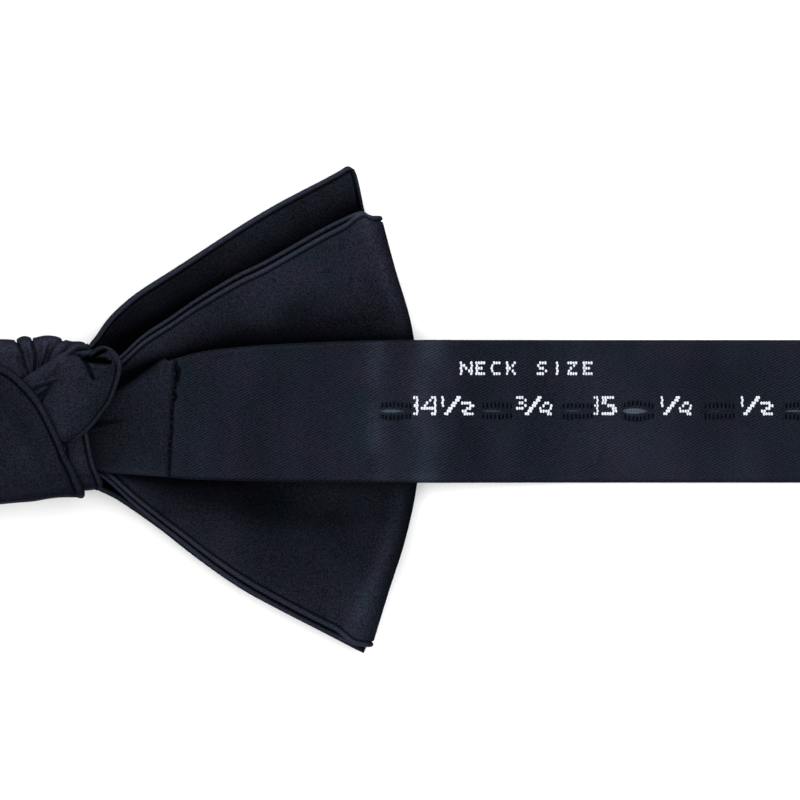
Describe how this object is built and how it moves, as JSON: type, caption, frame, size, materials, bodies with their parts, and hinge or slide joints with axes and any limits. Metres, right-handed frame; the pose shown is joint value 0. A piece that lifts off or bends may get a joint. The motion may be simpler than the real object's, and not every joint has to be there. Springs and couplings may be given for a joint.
{
  "type": "bow tie",
  "caption": "Self-tied butterfly bow tie lying on its face, with an open neckband, a buttonholed size tape on one half and a metal T-hook on the other.",
  "frame": {"origin": "on the table under the middle of the knot, at the flat of the knot's front face", "axes": "+X along the open neckband towards its slotted half, +Y towards the chin as worn, +Z out of the back of the bow; the bow lies on its front"},
  "size_m": [0.4544, 0.0674, 0.0185],
  "materials": {
    "silk": "midnight-blue silk satin, soft sheen",
    "interlining": "undyed wool and cotton, matte",
    "stay": "grey-blue cotton, matte",
    "tape": "midnight-blue satin twill tape with white woven figures",
    "thread": "dark polyester thread",
    "figure_thread": "white rayon thread, slight sheen",
    "hook_metal": "nickel-plated, satin"
  },
  "bodies": {
    "bow": {"front_right_end_cover": "silk", "front_right_end_interlining": "interlining", "back_right_loop_cover": "silk", "back_right_loop_interlining": "interlining", "front_left_loop_cover": "silk", "front_left_loop_interlining": "interlining", "back_left_end_cover": "silk", "back_left_end_interlining": "interlining", "front_bow_gather": "silk", "back_bow_gather": "silk", "knot_front_wrap": "silk", "knot_top_pleats": "silk", "knot_cross_band": "silk", "knot_flap": "silk", "left_band_turn": "silk", "right_band_root": "silk"},
    "right_band": {"right_band_cover": "silk", "right_band_interlining": "interlining", "slot_stay": "stay", "size_tape": "tape", "buttonhole_stitches": "thread", "woven_figures": "figure_thread", "tape_seam_stitches": "thread"},
    "left_band": {"left_band_cover": "silk", "left_band_interlining": "interlining", "hook_tab": "silk", "tab_stitches": "thread"},
    "hook": {"t_hook": "hook_metal"}
  },
  "joints": [
    {"name": "right_band_fold", "type": "hinge", "parent": "bow", "child": "right_band", "pos_m": [0.0185, 0, 0.0139], "axis": [0, -1, 0], "range_deg": [0, 95]},
    {"name": "left_band_fold", "type": "hinge", "parent": "bow", "child": "left_band", "pos_m": [-0.0185, -0.0034, 0.0139], "axis": [0, 1, 0], "range_deg": [0, 95]},
    {"name": "hook_swing", "type": "hinge", "parent": "left_band", "child": "hook", "pos_m": [-0.2392, -0.0034, 0.00145], "axis": [0, 1, 0], "range_deg": [-90, 100]}
  ]
}
